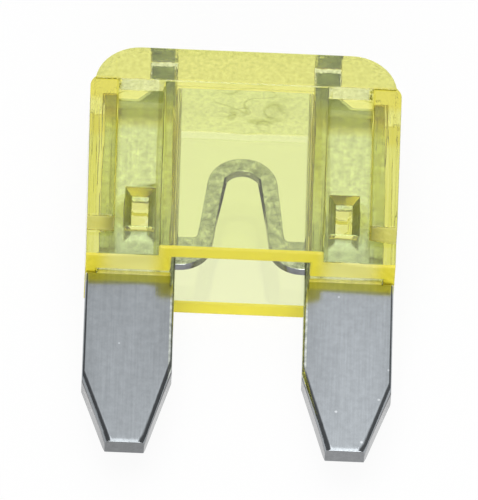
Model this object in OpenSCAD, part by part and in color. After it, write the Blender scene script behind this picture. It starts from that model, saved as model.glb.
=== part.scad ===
// Mini automotive blade fuse: a moulded translucent housing around one stamped zinc element.
//
// The fuse lies on its back. X is its width, +Y points from the blades to the head, and Z is its
// thickness, with z = 0 on the back of the head and y = 0 halfway along. All sizes are in
// millimetres. A depth is the distance from the top of the head towards the blade tips.

/* [Housing] */
// Width of the body across both side ribs
body_w = 10.92; // [10.6:0.02:11.6]
// Length of the housing from the top of the head to its open end
body_len = 8.73; // [8.5:0.01:9.6]
// Thickness of the body, front face to back face
body_t = 3.8; // [3.5:0.02:4.4]
// Depth of the head's underside, where the body's hollow begins
head_len = 1.42; // [1.3:0.02:1.6]
// How far the head stands proud of the body on each face
head_step = 0.07; // [0.02:0.01:0.15]
// How far the head's ends stay inside the body's sides
head_inset = 0.16; // [0.05:0.01:0.25]
// Radius of the head's two upper corners
head_r = 1.62; // [1:0.02:2]
// How far the body's sides climb past the head's underside
body_rise = 0.22; // [0.1:0.01:0.6]
// Radius of the body's two upper corners
body_r = 0.5; // [0.1:0.02:0.6]
// How much narrower the body is on each side at its open end
side_draft = 0.06; // [0:0.01:0.08]

/* [Centre box] */
// Width of the hollow that the fuse link hangs in
cavity_w = 4.8; // [4.7:0.02:4.9]
// Thickness of the front and back walls over the hollow
window_wall = 0.65; // [0.4:0.01:0.8]
// Thickness of the centre box's side walls
box_wall = 0.48; // [0.35:0.01:0.55]

/* [Pockets and ribs] */
// Width of the recessed pocket on each side of the centre box
pocket_w = 1.57; // [1.5:0.01:1.8]
// How far a pocket's floor lies below the body's face
pocket_depth = 0.6; // [0.3:0.01:0.8]
// Depth at which the side ribs end
rib_end = 7.46; // [6:0.02:8]
// How much further a rib reaches at the pocket's floor than at its face
rib_slope = 0.2; // [0:0.01:0.4]
// Thickness of the side wall outside each blade's slot
side_wall = 0.46; // [0.35:0.01:0.55]

/* [Stakes] */
// Depth of the stakes' centres
stake_depth = 6.52; // [5:0.02:7]
// How far the stakes sit inwards of the middle of their pockets
stake_offset = 0.1; // [0:0.01:0.12]
// Width of a stake's dimple at the pocket's floor
mouth_w = 1.2; // [1.02:0.01:1.3]
// Length of a stake's dimple at the pocket's floor
mouth_len = 1.88; // [1.5:0.02:2]
// Depth of a dimple below the pocket's floor, reached by sides that slant at 45 degrees
dimple_depth = 0.38; // [0.2:0.01:0.48]
// Width of the hole in the blade that a stake fills
hole_w = 1; // [0.95:0.01:1.2]
// Length of the hole in the blade that a stake fills
hole_len = 1.4; // [1.15:0.01:1.6]

/* [Blades] */
// Thickness of the stamped strip
strip_t = 0.8; // [0.6:0.02:0.9]
// Clearance between the strip and the plastic on every side
fit_gap = 0.05; // [0.03:0.01:0.08]
// Width of each blade below the housing
blade_w = 3.12; // [2.8:0.02:3.16]
// Length of each blade below the housing
blade_len = 7.36; // [6.5:0.02:8.5]
// How far a blade's outer edge stays inside the body's side
blade_inset = 0.08; // [0.04:0.01:0.2]
// Width of a blade's square-cut tip
tip_w = 1.36; // [1:0.02:1.8]
// How far a blade's inner edge slants towards the tip
inner_taper = 3.1; // [1.5:0.05:3.5]
// How far a blade's outer edge slants towards the tip
outer_taper = 2.6; // [1.5:0.05:3.5]
// Depth of the coined bevel on each face of the tip
tip_bevel = 0.08; // [0.05:0.01:0.25]
// Length of the coined bevel along the blade
tip_bevel_len = 0.2; // [0.1:0.01:0.6]

/* [Test tabs] */
// Width of the probe slot through the head above each blade
probe_w = 0.96; // [0.6:0.02:1]
// Depth of the test tab's end below the top of the head
tab_top = 0.12; // [0.06:0.02:0.6]
// Depth at which the tab begins to widen to the blade
neck_depth = 1.1; // [0.8:0.02:1.3]
// How far the slanted neck reaches outwards
neck_reach = 0.4; // [0.1:0.01:0.6]
// Depth of the blade's upper shoulder
shoulder_depth = 1.48; // [1.48:0.01:2]

/* [Fuse link] */
// Width of the link's strip
link_w = 0.56; // [0.3:0.01:0.7]
// Thickness of the link and its roots
link_t = 0.35; // [0.15:0.01:0.5]
// Radius of the arch's centreline
arch_r = 0.95; // [0.8:0.01:1.1]
// Depth of the top of the arch
arch_top = 3.6; // [2.5:0.05:4.5]
// Angle at which the legs splay outwards
splay = 7; // [3:0.5:9]
// Depth of the upper edge of the roots
root_top = 7.16; // [6.5:0.02:7.5]
// Depth of the lower edge of the roots
root_bottom = 8.15; // [7.9:0.01:8.3]
// Radius of the curve from each leg into the lower edge of its root
root_r = 1.2; // [0.8:0.02:1.3]
// Radius of the small fillet between each leg and the upper edge of its root
root_fillet = 0.2; // [0.05:0.01:0.3]

/* [Hidden] */
$fn = 64;

// How far a cut runs past the face it opens through
past = 1;
// How far two joined shapes run into each other
overlap = 0.05;

// Housing
head_t = body_t + 2 * head_step;
body_half = body_w / 2;
head_half = body_half - head_inset;
cavity_half = cavity_w / 2;
cavity_t = body_t - 2 * window_wall;
box_half = cavity_half + box_wall;
pocket_out = box_half + pocket_w;
floor_z = body_t / 2 - pocket_depth;
slot_t = strip_t + 2 * fit_gap;
slot_out = body_half - side_wall;
probe_out = cavity_half + probe_w;

// Stakes
stake_x = box_half + pocket_w / 2 - stake_offset;

// Element
tip_depth = body_len + blade_len;
blade_out = body_half - blade_inset;
blade_in = blade_out - blade_w;
tip_x = (blade_out + blade_in) / 2;
foot_depth = body_len + fit_gap;

// Fuse link
arch_depth = arch_top + link_w / 2 + arch_r;
leg_start_x = arch_r * cos(splay);
leg_start_depth = arch_depth - arch_r * sin(splay);
root_centre_depth = root_bottom - root_r;
root_centre_x = leg_edge_x(root_centre_depth, -1) + root_r / cos(splay);

// Distance from the middle to a leg at a depth: side 1 is its outer edge, 0 its middle, -1 its inner edge
function leg_edge_x(depth, side) =
    leg_start_x + (depth - leg_start_depth) * tan(splay) + side * link_w / 2 / cos(splay);

// ---- Helpers. Everything is drawn with y = -depth and z = 0 halfway through the thickness ----

module in_place() {
    translate([0, tip_depth / 2, head_t / 2]) children();
}

module both_sides() {
    children();
    mirror([1, 0, 0]) children();
}

module both_faces() {
    children();
    mirror([0, 0, 1]) children();
}

// A flat outline given a thickness about the middle plane
module slab(thickness) {
    linear_extrude(thickness, center = true) children();
}

// A rectangle between two distances from the middle and two depths
module band(x_from, x_to, depth_from, depth_to) {
    translate([x_from, -depth_to]) square([x_to - x_from, depth_to - depth_from]);
}

// A side view, drawn as [y, z], carried across the whole width
module across(width) {
    rotate([90, 0, 90]) linear_extrude(width, center = true) children();
}

// A plate outline whose two upper corners are round, and which narrows on each side towards its lower end
module round_topped(half, depth_from, depth_to, radius, narrowing = 0) {
    polygon([
        [-half, -(depth_from + radius)], [half, -(depth_from + radius)],
        [half - narrowing, -depth_to], [-(half - narrowing), -depth_to]
    ]);
    band(-(half - radius), half - radius, depth_from, depth_from + 2 * radius);
    both_sides() translate([half - radius, -(depth_from + radius)]) circle(radius);
}

// ---- Housing ----

module head() {
    slab(head_t) intersection() {
        round_topped(head_half, 0, head_len + 2 * head_r, head_r);
        band(-head_half, head_half, 0, head_len);
    }
}

module body_outline() {
    round_topped(body_half, head_len - body_rise, body_len, body_r, side_draft);
}

// The thinner plate behind the pockets, which runs out to both sides below the ribs
module pocket_plate() {
    slab(2 * floor_z) body_outline();
}

module centre_box() {
    slab(body_t) band(-box_half, box_half, head_len - body_rise, body_len);
}

module side_ribs() {
    intersection() {
        slab(body_t) intersection() {
            body_outline();
            both_sides() band(pocket_out, body_half, 0, body_len);
        }
        across(body_w) polygon([
            [0, body_t / 2], [-rib_end, body_t / 2], [-(rib_end + rib_slope), floor_z],
            [-(rib_end + rib_slope), -floor_z], [-rib_end, -body_t / 2], [0, -body_t / 2]
        ]);
    }
}

module link_cavity() {
    slab(cavity_t) band(-cavity_half, cavity_half, head_len, body_len + past);
}

// Room for one blade and its test tab, open to the cavity, to the head's top and to the open end
module blade_slot() {
    slab(slot_t) {
        band(0, cavity_half, head_len, body_len + past);
        band(cavity_half, probe_out, -past, shoulder_depth);
        polygon([
            [cavity_half, -(neck_depth - fit_gap)], [probe_out, -(neck_depth - fit_gap)],
            [probe_out + neck_reach, -(shoulder_depth - fit_gap)], [cavity_half, -shoulder_depth]
        ]);
        band(cavity_half, slot_out, shoulder_depth - fit_gap, body_len + past);
    }
}

// The plastic that fills the hole in a blade and joins the front wall to the back wall
module stud() {
    translate([stake_x, -stake_depth, 0])
        cube([hole_w - 2 * fit_gap, hole_len - 2 * fit_gap, slot_t], center = true);
}

// One stake's dimple: four slanted sides down to a flat bottom
module dimple() {
    translate([stake_x, -stake_depth, 0]) intersection() {
        across(mouth_w) dimple_side(mouth_len);
        rotate([0, 0, 90]) across(mouth_len) dimple_side(mouth_w);
    }
}

module dimple_side(mouth) {
    bottom = mouth - 2 * dimple_depth;
    polygon([
        [-bottom / 2, floor_z - dimple_depth], [bottom / 2, floor_z - dimple_depth],
        [mouth / 2, floor_z], [mouth / 2, floor_z + past], [-mouth / 2, floor_z + past], [-mouth / 2, floor_z]
    ]);
}

module housing() {
    color("khaki") in_place() difference() {
        union() {
            difference() {
                union() {
                    head();
                    pocket_plate();
                    centre_box();
                    side_ribs();
                }
                link_cavity();
                both_sides() blade_slot();
            }
            both_sides() stud();
        }
        both_sides() both_faces() dimple();
    }
}

// ---- Element ----

module blade_outline() {
    polygon([
        [cavity_half + fit_gap, -tab_top], [probe_out - fit_gap, -tab_top],
        [probe_out - fit_gap, -neck_depth], [probe_out - fit_gap + neck_reach, -shoulder_depth],
        [slot_out - fit_gap, -shoulder_depth], [slot_out - fit_gap, -foot_depth], [blade_out, -foot_depth],
        [blade_out, -(tip_depth - outer_taper)], [tip_x + tip_w / 2, -tip_depth],
        [tip_x - tip_w / 2, -tip_depth], [blade_in, -(tip_depth - inner_taper)],
        [blade_in, -root_top], [cavity_half + fit_gap, -root_top]
    ]);
}

// The strip seen from its edge, with the coined bevels at the tips
module strip_side() {
    face = strip_t / 2;
    tip = face - tip_bevel;
    polygon([
        [0, -face], [0, face], [-(tip_depth - tip_bevel_len), face], [-tip_depth, tip],
        [-tip_depth, -tip], [-(tip_depth - tip_bevel_len), -face]
    ]);
}

module blade() {
    intersection() {
        slab(strip_t) difference() {
            blade_outline();
            translate([stake_x, -stake_depth]) square([hole_w, hole_len], center = true);
        }
        across(body_w) strip_side();
    }
}

// Half ring over the legs, cut off square where each leg starts
module arch() {
    reach = arch_r + link_w;
    intersection() {
        translate([0, -arch_depth]) difference() {
            circle(arch_r + link_w / 2);
            circle(arch_r - link_w / 2);
        }
        polygon([
            [0, -arch_depth], [reach * cos(splay), -arch_depth + reach * sin(splay)],
            [reach, -arch_depth + 2 * reach], [-reach, -arch_depth + 2 * reach],
            [-reach * cos(splay), -arch_depth + reach * sin(splay)]
        ]);
    }
}

// A leg's upper end fits the arch's square cut, and its middle runs on into the arch
module leg() {
    inner_depth = leg_start_depth + link_w / 2 * sin(splay);
    outer_depth = leg_start_depth - link_w / 2 * sin(splay);
    joined_depth = leg_start_depth - overlap;
    polygon([
        [leg_edge_x(inner_depth, -1), -inner_depth],
        [leg_edge_x(joined_depth, -0.5), -joined_depth], [leg_edge_x(joined_depth, 0.5), -joined_depth],
        [leg_edge_x(outer_depth, 1), -outer_depth],
        [leg_edge_x(root_bottom, 1), -root_bottom], [leg_edge_x(root_bottom, -1), -root_bottom]
    ]);
}

// The web between a leg and its blade, with a fillet in its upper corner
module root() {
    polygon([
        [leg_edge_x(root_top, -1), -root_top], [blade_in + overlap, -root_top],
        [blade_in + overlap, -root_bottom], [leg_edge_x(root_bottom, -1), -root_bottom]
    ]);
    fillet_depth = root_top - root_fillet;
    fillet_x = leg_edge_x(fillet_depth, 1) + root_fillet / cos(splay);
    difference() {
        band(leg_edge_x(fillet_depth, 0), fillet_x, fillet_depth, root_top + overlap);
        translate([fillet_x, -fillet_depth]) circle(root_fillet);
    }
}

// What is left of a leg and its root once the lower inner corner is rounded
module root_rounding() {
    band(0, blade_out, arch_top, root_centre_depth);
    band(root_centre_x, blade_out, arch_top, root_bottom);
    translate([root_centre_x, -root_centre_depth]) circle(root_r);
}

module link() {
    slab(link_t) {
        arch();
        both_sides() intersection() {
            union() {
                leg();
                root();
            }
            root_rounding();
        }
    }
}

module element() {
    color("silver") in_place() {
        both_sides() blade();
        link();
    }
}

housing();
element();
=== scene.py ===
"""Mini automotive blade fuse: a translucent moulded housing around one stamped zinc element."""

import math

import bmesh
import bpy
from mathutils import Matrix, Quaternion, Vector
from mathutils.geometry import intersect_point_line


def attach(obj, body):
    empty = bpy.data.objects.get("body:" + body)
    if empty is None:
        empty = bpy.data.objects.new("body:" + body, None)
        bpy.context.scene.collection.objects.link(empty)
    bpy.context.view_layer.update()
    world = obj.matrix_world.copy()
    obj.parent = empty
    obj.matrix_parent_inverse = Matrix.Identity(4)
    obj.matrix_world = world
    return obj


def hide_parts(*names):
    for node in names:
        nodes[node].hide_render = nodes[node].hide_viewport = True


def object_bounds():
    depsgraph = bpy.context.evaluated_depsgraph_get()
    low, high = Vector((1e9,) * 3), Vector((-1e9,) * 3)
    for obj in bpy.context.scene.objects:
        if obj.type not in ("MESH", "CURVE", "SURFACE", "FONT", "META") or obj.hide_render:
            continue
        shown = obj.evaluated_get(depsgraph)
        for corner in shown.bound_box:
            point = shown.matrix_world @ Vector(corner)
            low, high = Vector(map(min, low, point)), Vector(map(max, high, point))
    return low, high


MM = 0.001

# ---- View ----

VIEW_ELEVATION = 52.53  # degrees above the floor, from the blades' side
VIEW_AZIMUTH = -1.46  # degrees: a little from the left of the blades
VIEW_ROLL = 3.55  # degrees that the fuse leans to the right
VIEW_DISTANCE = 650 * MM
VIEW_WIDTH = 16.69 * MM  # how much the view spans from side to side, at the fuse
VIEW_SHIFT = (-0.03 * MM, 0.61 * MM)  # how far right of and above the fuse's middle the view is centred
VIEW_SHAPE = (478, 500)  # the view's width and height, one to the other

# ---- Landmarks on the fuse: heights run along Y, from the blades up to the head ----

TIP_TOP = -7.8 * MM  # the height where the blades' coined tips begin
TAPER_TOP = -4.9 * MM  # the height where the blades begin to taper
OPEN_END = -0.685 * MM  # the height of the housing's open end, where the bare blades begin
RIB_FOOT = 0.7 * MM  # the side ribs end below this height, in matt faces
STAKE_HEIGHT = 1.53 * MM  # the height of the stakes' middles
RIB_TOP = 5.9 * MM  # above this height the side ribs are solid, and golden
HEAD_FOOT = 6.625 * MM  # the height of the head's underside
LINK_HALF = 2.4 * MM  # how far out the fuse link and its roots reach
BOX_WALL = 2.75 * MM  # how far out the middle of the hollow's side walls lies
BLADE_MIDDLE = 3.82 * MM  # how far out the middle of a blade lies
RIB_SIDE = (4.3 * MM, 4.5 * MM)  # the side ribs begin between these distances from the middle
GATE = (0.2 * MM, 5.7 * MM, 3.94 * MM)  # the middle of the swirls that the melt's flow left on the front


def srgb(code):
    """Turns an sRGB hex colour into the linear RGBA that a shader takes."""
    channels = [int(code[i : i + 2], 16) / 255 for i in (1, 3, 5)]
    linear = [c / 12.92 if c <= 0.04045 else ((c + 0.055) / 1.055) ** 2.4 for c in channels]
    return (*linear, 1.0)


def add_node(tree, kind, settings=None, inputs=None, stops=()):
    """Adds one shader node: settings are its properties, an input is a value or a socket to link.

    stops are the positions and colours of a ramp, from its lowest up.
    """
    node = tree.nodes.new(kind)
    for name, value in (settings or {}).items():
        setattr(node, name, value)
    for name, value in (inputs or {}).items():
        if isinstance(value, bpy.types.NodeSocket):
            tree.links.new(value, node.inputs[name])
        else:
            node.inputs[name].default_value = value
    if stops:
        ramp = node.color_ramp.elements
        ramp.remove(ramp[1])
        ramp[0].position, ramp[0].color = stops[0][0], srgb(stops[0][1])
        for position, code in stops[1:]:
            ramp.new(position).color = srgb(code)
    return node


def new_material(name):
    """A material with an empty node tree and its output."""
    material = bpy.data.materials.new(name)
    material.use_nodes = True
    material.node_tree.nodes.clear()
    return material, material.node_tree, add_node(material.node_tree, "ShaderNodeOutputMaterial")


def dress(piece, material):
    """Gives a piece one material."""
    piece.data.materials.clear()
    piece.data.materials.append(material)


# ---- Materials ----

SPREAD = ("Value", "From Min", "From Max", "To Min", "To Max")  # the columns of the tables of ranges
CLEAR = "#f6fbe2"  # the faint tint of the plastic's surface: its yellow comes from the dye within
END_DEPTH = 0.08 * MM  # how far in from the open end the matt finish goes
WALL_HALF = 0.3 * MM  # half the width of the lined band along each wall of the hollow
STAKE_REACH = 0.62 * MM  # how far from its middle a stake carries painted shade, a little darker and yellower
SWIRLS_FADE = (0.9 * MM, 1.5 * MM)  # between these distances from the gate the swirls fade out


def moulded_polycarbonate():
    """Dyed polycarbonate, injection moulded: clear yellow and glossy, a touch milky and wavy.

    The mould's marks show in it: fine lines along the side ribs and the hollow's walls, a fine grain on the
    head, and the swirls of the melt's flow by the gate. Less of the light goes straight through such marks,
    so they look a little deeper in colour; the head's grain also darkens the head on average, as painted
    shade for the shadowed paper seen through it. The stakes' dimples carry painted shade, a little darker
    and yellower. The end faces are matt, and carry a painted yellow glow that stands in for the light that
    the walls bring to them; on the side ribs' end faces it is painted darker towards the blades.
    """
    material, tree, output = new_material("dyed_polycarbonate_moulded")
    place = add_node(tree, "ShaderNodeTexCoord").outputs["Object"]
    axes = add_node(tree, "ShaderNodeSeparateXYZ", inputs={"Vector": place})
    height = axes.outputs["Y"]
    across = add_node(tree, "ShaderNodeMath", {"operation": "ABSOLUTE"}, {0: axes.outputs["X"]}).outputs[0]
    both_sides = add_node(tree, "ShaderNodeCombineXYZ", inputs={"X": across, "Y": height})
    normal = add_node(tree, "ShaderNodeNewGeometry").outputs["Normal"]
    facing = add_node(tree, "ShaderNodeSeparateXYZ", inputs={"Vector": normal})
    from_gate, from_stake = [
        add_node(
            tree, "ShaderNodeVectorMath", {"operation": "DISTANCE"}, {0: start, 1: end}
        ).outputs["Value"]
        for start, end in (
            (place, GATE),
            (both_sides.outputs["Vector"], (BLADE_MIDDLE, STAKE_HEIGHT, 0.0)),
        )
    ]
    off_middle = add_node(tree, "ShaderNodeMath", {"operation": "SUBTRACT"}, {0: across, 1: BLADE_MIDDLE})
    off_middle = add_node(tree, "ShaderNodeMath", {"operation": "ABSOLUTE"}, {0: off_middle.outputs[0]})

    # masks: where on the housing a point is
    on_rib, up_rib, on_head, near_gate = [
        add_node(tree, "ShaderNodeMapRange", inputs=dict(zip(SPREAD, row))).outputs["Result"]
        for row in (
            (across, *RIB_SIDE, 0.0, 1.0),
            (height, RIB_TOP - 0.3 * MM, RIB_TOP, 0.0, 1.0),
            (height, HEAD_FOOT, HEAD_FOOT + 0.1 * MM, 0.0, 1.0),
            (from_gate, *SWIRLS_FADE, 1.0, 0.0),
        )
    ]
    outwards = add_node(
        tree,
        "ShaderNodeMapRange",
        {"interpolation_type": "SMOOTHSTEP"},
        {"Value": off_middle.outputs[0], "From Min": 0.5 * MM, "From Max": 1.3 * MM},
    ).outputs["Result"]
    on_wall = add_node(
        tree, "ShaderNodeMath", {"operation": "COMPARE"}, {0: across, 1: BOX_WALL, 2: WALL_HALF}
    ).outputs[0]
    on_stake, on_end, low, downwards = [
        add_node(tree, "ShaderNodeMath", {"operation": "LESS_THAN"}, {0: value, 1: limit}).outputs[0]
        for value, limit in (
            (from_stake, STAKE_REACH),
            (height, OPEN_END + END_DEPTH),
            (height, RIB_FOOT),
            (facing.outputs["Y"], -0.7),  # faces that look down the blades
        )
    ]
    on_rib_end = on_rib
    for share in (low, downwards):
        on_rib_end = add_node(
            tree, "ShaderNodeMath", {"operation": "MULTIPLY"}, {0: on_rib_end, 1: share}
        ).outputs[0]
    lined, on_matt = [
        add_node(tree, "ShaderNodeMath", {"operation": "MAXIMUM"}, {0: one, 1: other}).outputs[0]
        for one, other in ((on_rib, on_wall), (on_rib_end, on_end))
    ]

    # the marks: waves 1.5 mm long, lines 0.25 mm apart, a grain of 0.14 mm, and swirls 0.8 mm across; lines
    # and grain are finer on the real mould, and as coarse here as they need to be to show
    along, with_flow = [
        add_node(tree, "ShaderNodeMapping", inputs={"Vector": place, "Scale": scale}).outputs["Vector"]
        for scale in ((1.0, 0.05, 1.0), (0.45, 1.0, 0.3))
    ]
    waves, lines, grain, flow = [
        add_node(
            tree,
            "ShaderNodeTexNoise",
            inputs={"Vector": way, "Scale": 1 / size, "Detail": detail, "Distortion": distortion},
        ).outputs["Fac"]
        for way, size, detail, distortion in (
            (place, 1.5 * MM, 2.0, 0.0),
            (along, 0.25 * MM, 2.0, 0.0),
            (place, 0.14 * MM, 2.0, 0.0),
            (with_flow, 0.8 * MM, 1.0, 1.2),
        )
    ]
    relief = add_node(
        tree, "ShaderNodeBump", inputs={"Height": waves, "Strength": 0.4, "Distance": 0.02 * MM}
    ).outputs["Normal"]
    for mark, share, depth in (
        (lines, lined, 0.05 * MM),
        (grain, on_head, 0.006 * MM),
        (flow, near_gate, 0.035 * MM),
    ):
        relief = add_node(
            tree,
            "ShaderNodeBump",
            inputs={"Height": mark, "Strength": share, "Distance": depth, "Normal": relief},
        ).outputs["Normal"]

    # the tones, each laid over the ones before it
    swirls, streaks, grain_and_painted_shade = [
        add_node(tree, "ShaderNodeValToRGB", inputs={"Fac": mark}, stops=stops).outputs["Color"]
        for mark, stops in (
            (flow, ((0.46, CLEAR), (0.51, "#c4c997"), (0.56, CLEAR))),
            (lines, ((0.35, "#e2e597"), (0.65, "#f1f6e2"))),
            (grain, ((0.35, "#cdd5ba"), (0.65, "#f1f8e5"))),
        )
    ]
    # painted glow: the end faces' tones stand in for the light that the walls bring to them, and on the
    # side ribs' end faces they are painted darker towards the blades
    rib_tone, rib_end_glow_tone, end_glow_tone = [
        add_node(tree, "ShaderNodeMix", {"data_type": "RGBA"}, {0: share, 6: inner, 7: outer}).outputs[2]
        for share, inner, outer in (
            (up_rib, streaks, srgb("#e4dc6c")),
            (outwards, srgb("#8c8a30"), srgb("#dcda6c")),
            (outwards, srgb("#fffa94"), srgb("#fbee3c")),
        )
    ]
    tone = srgb(CLEAR)
    for share, over in (
        (near_gate, swirls),
        # painted shade in the stakes' dimples, a little darker and yellower
        (on_stake, srgb("#eaedac")),
        (on_wall, streaks),
        (on_rib, rib_tone),
        # the head's grain, darker on average: partly the mould's grain, partly painted shade for the
        # shadowed paper seen through the head
        (on_head, grain_and_painted_shade),
        (on_rib_end, rib_end_glow_tone),
        (on_end, end_glow_tone),
    ):
        tone = add_node(
            tree, "ShaderNodeMix", {"data_type": "RGBA"}, {0: share, 6: tone, 7: over}
        ).outputs[2]

    roughness, transmission = [
        add_node(
            tree, "ShaderNodeMapRange", inputs={"Value": on_matt, "To Min": glossy, "To Max": matt}
        ).outputs["Result"]
        for glossy, matt in ((0.02, 0.5), (0.96, 0.35))
    ]
    plastic = add_node(
        tree,
        "ShaderNodeBsdfPrincipled",
        inputs={
            "Base Color": tone,
            "Roughness": roughness,
            "IOR": 1.585,
            "Transmission Weight": transmission,
            "Normal": relief,
        },
    )
    dye = add_node(
        tree, "ShaderNodeVolumeAbsorption", inputs={"Color": srgb("#f8f428"), "Density": 345.0}
    )
    tree.links.new(plastic.outputs["BSDF"], output.inputs["Surface"])
    tree.links.new(dye.outputs["Volume"], output.inputs["Volume"])
    return material


# the strip's tone up its length, in parts of 10 mm from 1 mm below the open end, with painted light in it:
# a dull bluish grey on the bare blades, a painted warm glow where the yellow end faces shine on it, a
# painted highlight in the line where it enters the housing, painted brightness inside the housing, most
# behind the pockets, for the light that the milky plastic scatters onto it, and a painted yellow glow, then
# painted shade, near and under the head
ZINC_TONES_AND_PAINTED_LIGHT = (
    (0.0, "#969b9f"),
    (0.05, "#969b9f"),
    (0.062, "#b2b480"),
    (0.087, "#b2b480"),
    (0.09, "#f8f8ee"),
    (0.105, "#f8f8ee"),
    (0.12, "#c4cedc"),
    (0.24, "#ced8e6"),
    (0.38, "#ecf1f4"),
    (0.7, "#ecf1f3"),
    (0.73, "#d6d49c"),
    (0.79, "#cacc94"),
    (0.82, "#b6bca8"),
    (0.86, "#9aa196"),
    (1.0, "#8c948b"),
)


def rolled_zinc():
    """Rolled zinc alloy strip, satin, with fine lines from the rolls along it.

    It is painted brighter inside the housing, most behind the pockets, as a stand-in for the light that the
    milky plastic scatters onto it, with a painted highlight in the line where it enters the housing, a
    painted warm glow just below that, and a painted yellow glow and then painted shade near and under the
    head. It is scuffed on the link, and a dull bluish grey where the blades are bare, the left one a little
    darker. The faces that the die sheared are darker.
    """
    material, tree, output = new_material("zinc_alloy_rolled")
    place = add_node(tree, "ShaderNodeTexCoord").outputs["Object"]
    axes = add_node(tree, "ShaderNodeSeparateXYZ", inputs={"Vector": place})
    height = axes.outputs["Y"]
    normal = add_node(tree, "ShaderNodeNewGeometry").outputs["Normal"]
    facing = add_node(tree, "ShaderNodeSeparateXYZ", inputs={"Vector": normal})
    across, upright = [
        add_node(tree, "ShaderNodeMath", {"operation": "ABSOLUTE"}, {0: value}).outputs[0]
        for value in (axes.outputs["X"], facing.outputs["Z"])
    ]
    in_link, sheared = [
        add_node(tree, "ShaderNodeMath", {"operation": "LESS_THAN"}, {0: value, 1: limit}).outputs[0]
        for value, limit in ((across, LINK_HALF), (upright, 0.3))  # sheared faces stand upright
    ]

    # rolling lines 0.07 mm apart, blotches of 0.3 mm, and bright specks about 0.8 mm apart; the lines are
    # finer on real strip, and as coarse here as they need to be to show
    along = add_node(tree, "ShaderNodeMapping", inputs={"Vector": place, "Scale": (1.0, 0.03, 1.0)})
    lines = add_node(
        tree,
        "ShaderNodeTexNoise",
        inputs={"Vector": along.outputs["Vector"], "Scale": 1 / (0.07 * MM), "Detail": 3.0},
    ).outputs["Fac"]
    blotches = add_node(
        tree,
        "ShaderNodeTexNoise",
        inputs={"Vector": place, "Scale": 1 / (0.3 * MM), "Detail": 5.0, "Roughness": 0.7},
    ).outputs["Fac"]
    cells = add_node(
        tree, "ShaderNodeTexVoronoi", inputs={"Vector": place, "Scale": 1 / (0.8 * MM)}
    ).outputs["Distance"]
    relief = add_node(
        tree, "ShaderNodeBump", inputs={"Height": lines, "Strength": 1.0, "Distance": 0.003 * MM}
    )

    up_strip, streak, speck, blotch, blotched, left_darkening, bare = [
        add_node(tree, "ShaderNodeMapRange", inputs=dict(zip(SPREAD, row))).outputs["Result"]
        for row in (
            (height, OPEN_END - 1 * MM, OPEN_END + 9 * MM, 0.0, 1.0),  # what ZINC_TONES_AND_PAINTED_LIGHT spans
            (lines, 0.3, 0.7, 0.93, 1.05),
            (cells, 0.05, 0.08, 0.5, 0.0),
            (blotches, 0.35, 0.65, 0.8, 1.14),
            (height, OPEN_END, OPEN_END + 0.5 * MM, 0.4, 1.0),  # blotches are fainter on bare metal
            (axes.outputs["X"], -BLADE_MIDDLE, BLADE_MIDDLE, 0.93, 1.13),  # darker to the left
            (height, OPEN_END - 0.6 * MM, OPEN_END, 1.0, 0.0),
        )
    ]
    # the first tone holds the painted light and shade up the strip; the scuffs are the link's wear
    tone, scuffs = [
        add_node(tree, "ShaderNodeValToRGB", inputs={"Fac": value}, stops=stops).outputs["Color"]
        for value, stops in (
            (up_strip, ZINC_TONES_AND_PAINTED_LIGHT),
            (blotches, ((0.36, "#a2a8a0"), (0.64, "#ced3cd"))),
        )
    ]
    for blend, share, over in (
        ("MIX", in_link, scuffs),
        ("MIX", sheared, srgb("#858789")),
        ("MULTIPLY", 1.0, streak),
        ("MULTIPLY", blotched, blotch),
        ("MULTIPLY", bare, left_darkening),
        ("MIX", speck, srgb("#e6eaee")),
    ):
        tone = add_node(
            tree,
            "ShaderNodeMix",
            {"data_type": "RGBA", "blend_type": blend},
            {0: share, 6: tone, 7: over},
        ).outputs[2]
    metal = add_node(
        tree,
        "ShaderNodeBsdfPrincipled",
        inputs={
            "Base Color": tone,
            "Metallic": 1.0,
            "Roughness": 0.17,
            "Normal": relief.outputs["Normal"],
        },
    )
    tree.links.new(metal.outputs["BSDF"], output.inputs["Surface"])
    return material


def white_paper():
    """The pale floor: plain matt paper that looks almost pure white to the camera and keeps a faint shadow.

    Through the plastic and in the metal it shows a painted pool of light, bright under and beside the fuse
    and falling off outwards: that darkens the outlines of clear edges.
    """
    material, tree, output = new_material("white_paper")
    path = add_node(tree, "ShaderNodeLightPath")
    seen_through = add_node(
        tree,
        "ShaderNodeMath",
        {"operation": "MAXIMUM"},
        {0: path.outputs["Is Glossy Ray"], 1: path.outputs["Is Transmission Ray"]},
    )
    place = add_node(tree, "ShaderNodeTexCoord").outputs["Object"]
    reach = add_node(tree, "ShaderNodeVectorMath", {"operation": "LENGTH"}, {0: place}).outputs["Value"]
    # painted pool of light: bright near the fuse, falling off outwards
    lit = add_node(
        tree,
        "ShaderNodeMapRange",
        {"interpolation_type": "SMOOTHSTEP"},
        dict(zip(SPREAD, (reach, 13 * MM, 32 * MM, 0.95, 0.12))),
    )
    share_through = add_node(
        tree,
        "ShaderNodeMath",
        {"operation": "MULTIPLY"},
        {0: seen_through.outputs[0], 1: lit.outputs["Result"]},
    )
    share = add_node(
        tree,
        "ShaderNodeMath",
        {"operation": "MULTIPLY_ADD"},
        {0: path.outputs["Is Camera Ray"], 1: 0.9, 2: share_through.outputs[0]},
    )
    paper = add_node(tree, "ShaderNodeBsdfDiffuse", inputs={"Color": srgb("#f3f3f3")})
    glow = add_node(tree, "ShaderNodeEmission", inputs={"Color": srgb("#ffffff"), "Strength": 1.02})
    mix = add_node(
        tree,
        "ShaderNodeMixShader",
        inputs={0: share.outputs[0], 1: paper.outputs["BSDF"], 2: glow.outputs["Emission"]},
    )
    tree.links.new(mix.outputs["Shader"], output.inputs["Surface"])
    return material


# ---- Pieces ----

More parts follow.
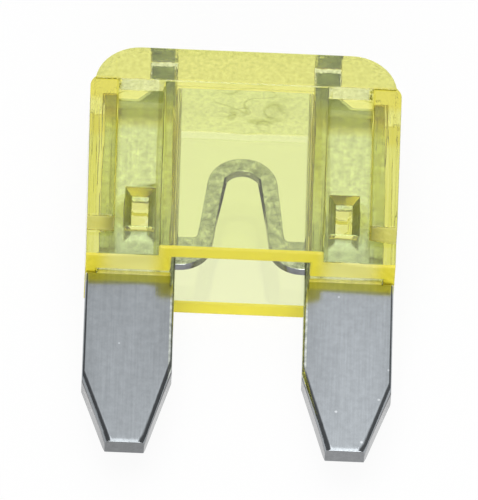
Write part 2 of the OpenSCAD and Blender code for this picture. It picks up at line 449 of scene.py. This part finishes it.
MERGE = 1e-6 * MM  # corners closer than this are one corner
SHARP = math.radians(25)  # faces that meet at more than this get a rounded edge
WIDE = 0.4 * MM  # an inner corner is rounded only where no other edge is nearer than this
ROOM = 0.45  # the share of a short edge that a rounding beside it may take
MOULD_EDGE = 0.2 * MM  # width of the rounding along the hollow's four long inner corners
HOLLOW = (2.35 * MM, 2.45 * MM)  # between these x lie those corners
RIM = (5.0 * MM, 6.5 * MM)  # outside this x, and above this y, is the rim of the head and the body
DIE_ROLL = 0.28 * MM  # width of the roll that the die leaves along the tapers' front edges
TIP_CROSS = 0.3 * MM  # the middles of the edges across a tip lie within this of the blade's middle
FRONT = 0.1 * MM  # the strip's front edges lie further than this above the fuse's middle


def offsets_between(edge, other):
    """The ways from points of each of two edges to the nearest point of the other edge."""
    ends, other_ends = [[corner.co for corner in e.verts] for e in (edge, other)]
    for (start, end), (a, b) in ((ends, other_ends), (other_ends, ends)):
        for share in (0.1, 0.5, 0.9):
            place = start.lerp(end, share)
            part = intersect_point_line(place, a, b)[1]
            yield a.lerp(b, min(max(part, 0), 1)) - place


def room_beside(edge, sharp, width_at):
    """How far it is from an edge to the nearest other sharp edge that doesn't simply continue it.

    An edge that it ends on counts by its length, and for more where it is barely rounded itself.
    """
    along = (edge.verts[1].co - edge.verts[0].co).normalized()
    room = math.inf
    for other in sharp:
        reach = other.verts[1].co - other.verts[0].co
        alike = abs(reach.normalized().dot(along)) > 0.9
        if other is edge:
            continue
        if set(edge.verts) & set(other.verts):
            if not alike:
                halfway = other.verts[0].co + reach / 2
                room = min(room, reach.length * (2 - width_at(halfway)))
            continue
        for offset in offsets_between(edge, other):
            if abs(offset.normalized().dot(along)) < (0.7 if alike else 0.8):
                room = min(room, offset.length)
    return room


def rounded_copy(node, name, widest, width_at):
    """A copy of a CAD node that stands for it, its edges rounded as far as their neighbours leave room.

    width_at gives the share of the widest rounding that is wanted at a point.
    """
    piece = bpy.data.objects.new(name, node.data.copy())
    bpy.context.collection.objects.link(piece)
    bpy.ops.object.select_all(action="DESELECT")
    piece.select_set(True)
    bpy.context.view_layer.objects.active = piece
    bpy.ops.mesh.customdata_custom_splitnormals_clear()
    bpy.ops.object.mode_set(mode="EDIT")
    bpy.ops.mesh.select_all(action="SELECT")
    bpy.ops.mesh.remove_doubles(threshold=MERGE)
    bpy.ops.mesh.dissolve_limited(angle_limit=math.radians(0.1))
    bpy.ops.object.mode_set(mode="OBJECT")
    bpy.ops.object.shade_smooth()

    mesh = bmesh.new()
    mesh.from_mesh(piece.data)
    weight = mesh.edges.layers.float.new("bevel_weight_edge")
    sharp = [e for e in mesh.edges if e.calc_face_angle() > SHARP]
    for edge in sharp:
        room = room_beside(edge, sharp, width_at)
        edge.smooth = edge.is_convex or room > WIDE
        if edge.smooth:
            halfway = (edge.verts[0].co + edge.verts[1].co) / 2
            edge[weight] = min(width_at(halfway), ROOM * room / widest)
    mesh.to_mesh(piece.data)
    mesh.free()

    rounding = piece.modifiers.new("rounding", "BEVEL")
    rounding.limit_method = "WEIGHT"
    rounding.width = widest
    rounding.segments = 3
    rounding.use_clamp_overlap = False
    rounding.harden_normals = True
    bpy.ops.object.modifier_apply(modifier=rounding.name)
    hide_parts(node.name)
    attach(piece, "root")
    return piece


def moulded_share(place):
    """The rim is finer than the other edges, because the head stands so little proud of the body."""
    if abs(place.x) > RIM[0] or place.y > RIM[1]:
        return 0.15
    return 1.0 if HOLLOW[0] < abs(place.x) < HOLLOW[1] else 0.5


def stamped_share(place):
    """The front edges roll over, most along the tapers. The coined tips and the other edges are crisp."""
    across_tip = place.y < TIP_TOP and abs(abs(place.x) - BLADE_MIDDLE) < TIP_CROSS
    if place.y > OPEN_END or place.z < middle.z + FRONT or across_tip:
        return 0.1
    return 1.0 if place.y < TAPER_TOP else 0.4


# ---- Studio ----

FLOOR_SPAN = 2.0  # metres, far more than the view spans


def studio_world():
    """Soft white light from overhead, front and back, between two dark sides that draw the edges."""
    world = bpy.data.worlds.new("studio")
    world.use_nodes = True
    tree = world.node_tree
    tree.nodes.clear()
    output = add_node(tree, "ShaderNodeOutputWorld")
    way = add_node(tree, "ShaderNodeTexCoord").outputs["Generated"]
    axes = add_node(tree, "ShaderNodeSeparateXYZ", inputs={"Vector": way})
    sideways = add_node(tree, "ShaderNodeMath", {"operation": "ABSOLUTE"}, {0: axes.outputs["X"]})
    overhead, open_share = [
        add_node(
            tree, "ShaderNodeMapRange", {"interpolation_type": "SMOOTHSTEP"}, dict(zip(SPREAD, row))
        ).outputs["Result"]
        for row in (
            (axes.outputs["Z"], 0.6, 1.0, 0.85, 1.4),
            (sideways.outputs[0], 0.15, 0.6, 1.0, 0.22),
        )
    ]
    level = add_node(tree, "ShaderNodeMath", {"operation": "MULTIPLY"}, {0: overhead, 1: open_share})
    light = add_node(
        tree, "ShaderNodeBackground", inputs={"Color": srgb("#ffffff"), "Strength": level.outputs[0]}
    )
    tree.links.new(light.outputs["Background"], output.inputs["Surface"])
    bpy.context.scene.world = world


def softbox(name, place, target, size, power):
    """A square area light, aimed at a point."""
    lamp = bpy.data.lights.new(name, "AREA")
    lamp.size = size
    lamp.energy = power
    box = bpy.data.objects.new(name, lamp)
    bpy.context.collection.objects.link(box)
    box.location = place
    box.rotation_mode = "QUATERNION"
    box.rotation_quaternion = (Vector(target) - Vector(place)).to_track_quat("-Z", "Y")


def floor(span):
    """A flat sheet under the fuse."""
    bpy.ops.object.select_all(action="DESELECT")
    bpy.ops.mesh.primitive_plane_add(size=span, location=(0, 0, 0))
    sheet = bpy.context.object
    sheet.name = "floor"
    dress(sheet, white_paper())


def camera(target):
    """A long lens at the viewing angle, rolled so that the fuse leans to the right."""
    lens = bpy.data.cameras.new("camera")
    eye = bpy.data.objects.new("camera", lens)
    bpy.context.collection.objects.link(eye)
    azimuth, elevation = math.radians(VIEW_AZIMUTH), math.radians(VIEW_ELEVATION)
    back = Vector(
        (
            math.sin(azimuth) * math.cos(elevation),
            -math.cos(azimuth) * math.cos(elevation),
            math.sin(elevation),
        )
    )
    level = (-back).to_track_quat("-Z", "Y")
    eye.rotation_mode = "QUATERNION"
    eye.rotation_quaternion = level @ Quaternion((0, 0, 1), math.radians(VIEW_ROLL))
    eye.location = target + eye.rotation_quaternion @ Vector((*VIEW_SHIFT, VIEW_DISTANCE))
    lens.sensor_width = 36
    longer_side = VIEW_WIDTH * max(VIEW_SHAPE) / VIEW_SHAPE[0]
    lens.lens = lens.sensor_width * VIEW_DISTANCE / longer_side
    lens.clip_start = 1 * MM
    lens.clip_end = VIEW_DISTANCE * 10
    bpy.context.scene.camera = eye


# ---- Build ----

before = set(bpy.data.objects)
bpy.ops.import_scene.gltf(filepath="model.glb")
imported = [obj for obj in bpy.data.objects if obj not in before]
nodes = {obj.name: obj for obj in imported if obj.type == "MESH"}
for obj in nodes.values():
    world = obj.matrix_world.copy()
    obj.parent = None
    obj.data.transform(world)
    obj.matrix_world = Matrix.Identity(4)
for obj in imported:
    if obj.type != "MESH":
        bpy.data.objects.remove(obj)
cad_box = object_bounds()
middle = (cad_box[0] + cad_box[1]) / 2

housing = rounded_copy(nodes["housing"], "housing_moulding", MOULD_EDGE, moulded_share)
dress(housing, moulded_polycarbonate())
element = rounded_copy(nodes["element"], "element_stamping", DIE_ROLL, stamped_share)
dress(element, rolled_zinc())

studio_world()
floor(FLOOR_SPAN)
camera(middle)
softbox("key", (-0.08, -0.1, 0.5), middle, size=0.3, power=0.4)
softbox("front", (0.0, -0.5, 0.12), middle, size=0.3, power=1.3)

bpy.context.scene.view_settings.view_transform = "Standard"
bpy.context.scene.cycles.max_bounces = 32
bpy.context.scene.cycles.transmission_bounces = 32
bpy.context.scene.cycles.glossy_bounces = 16
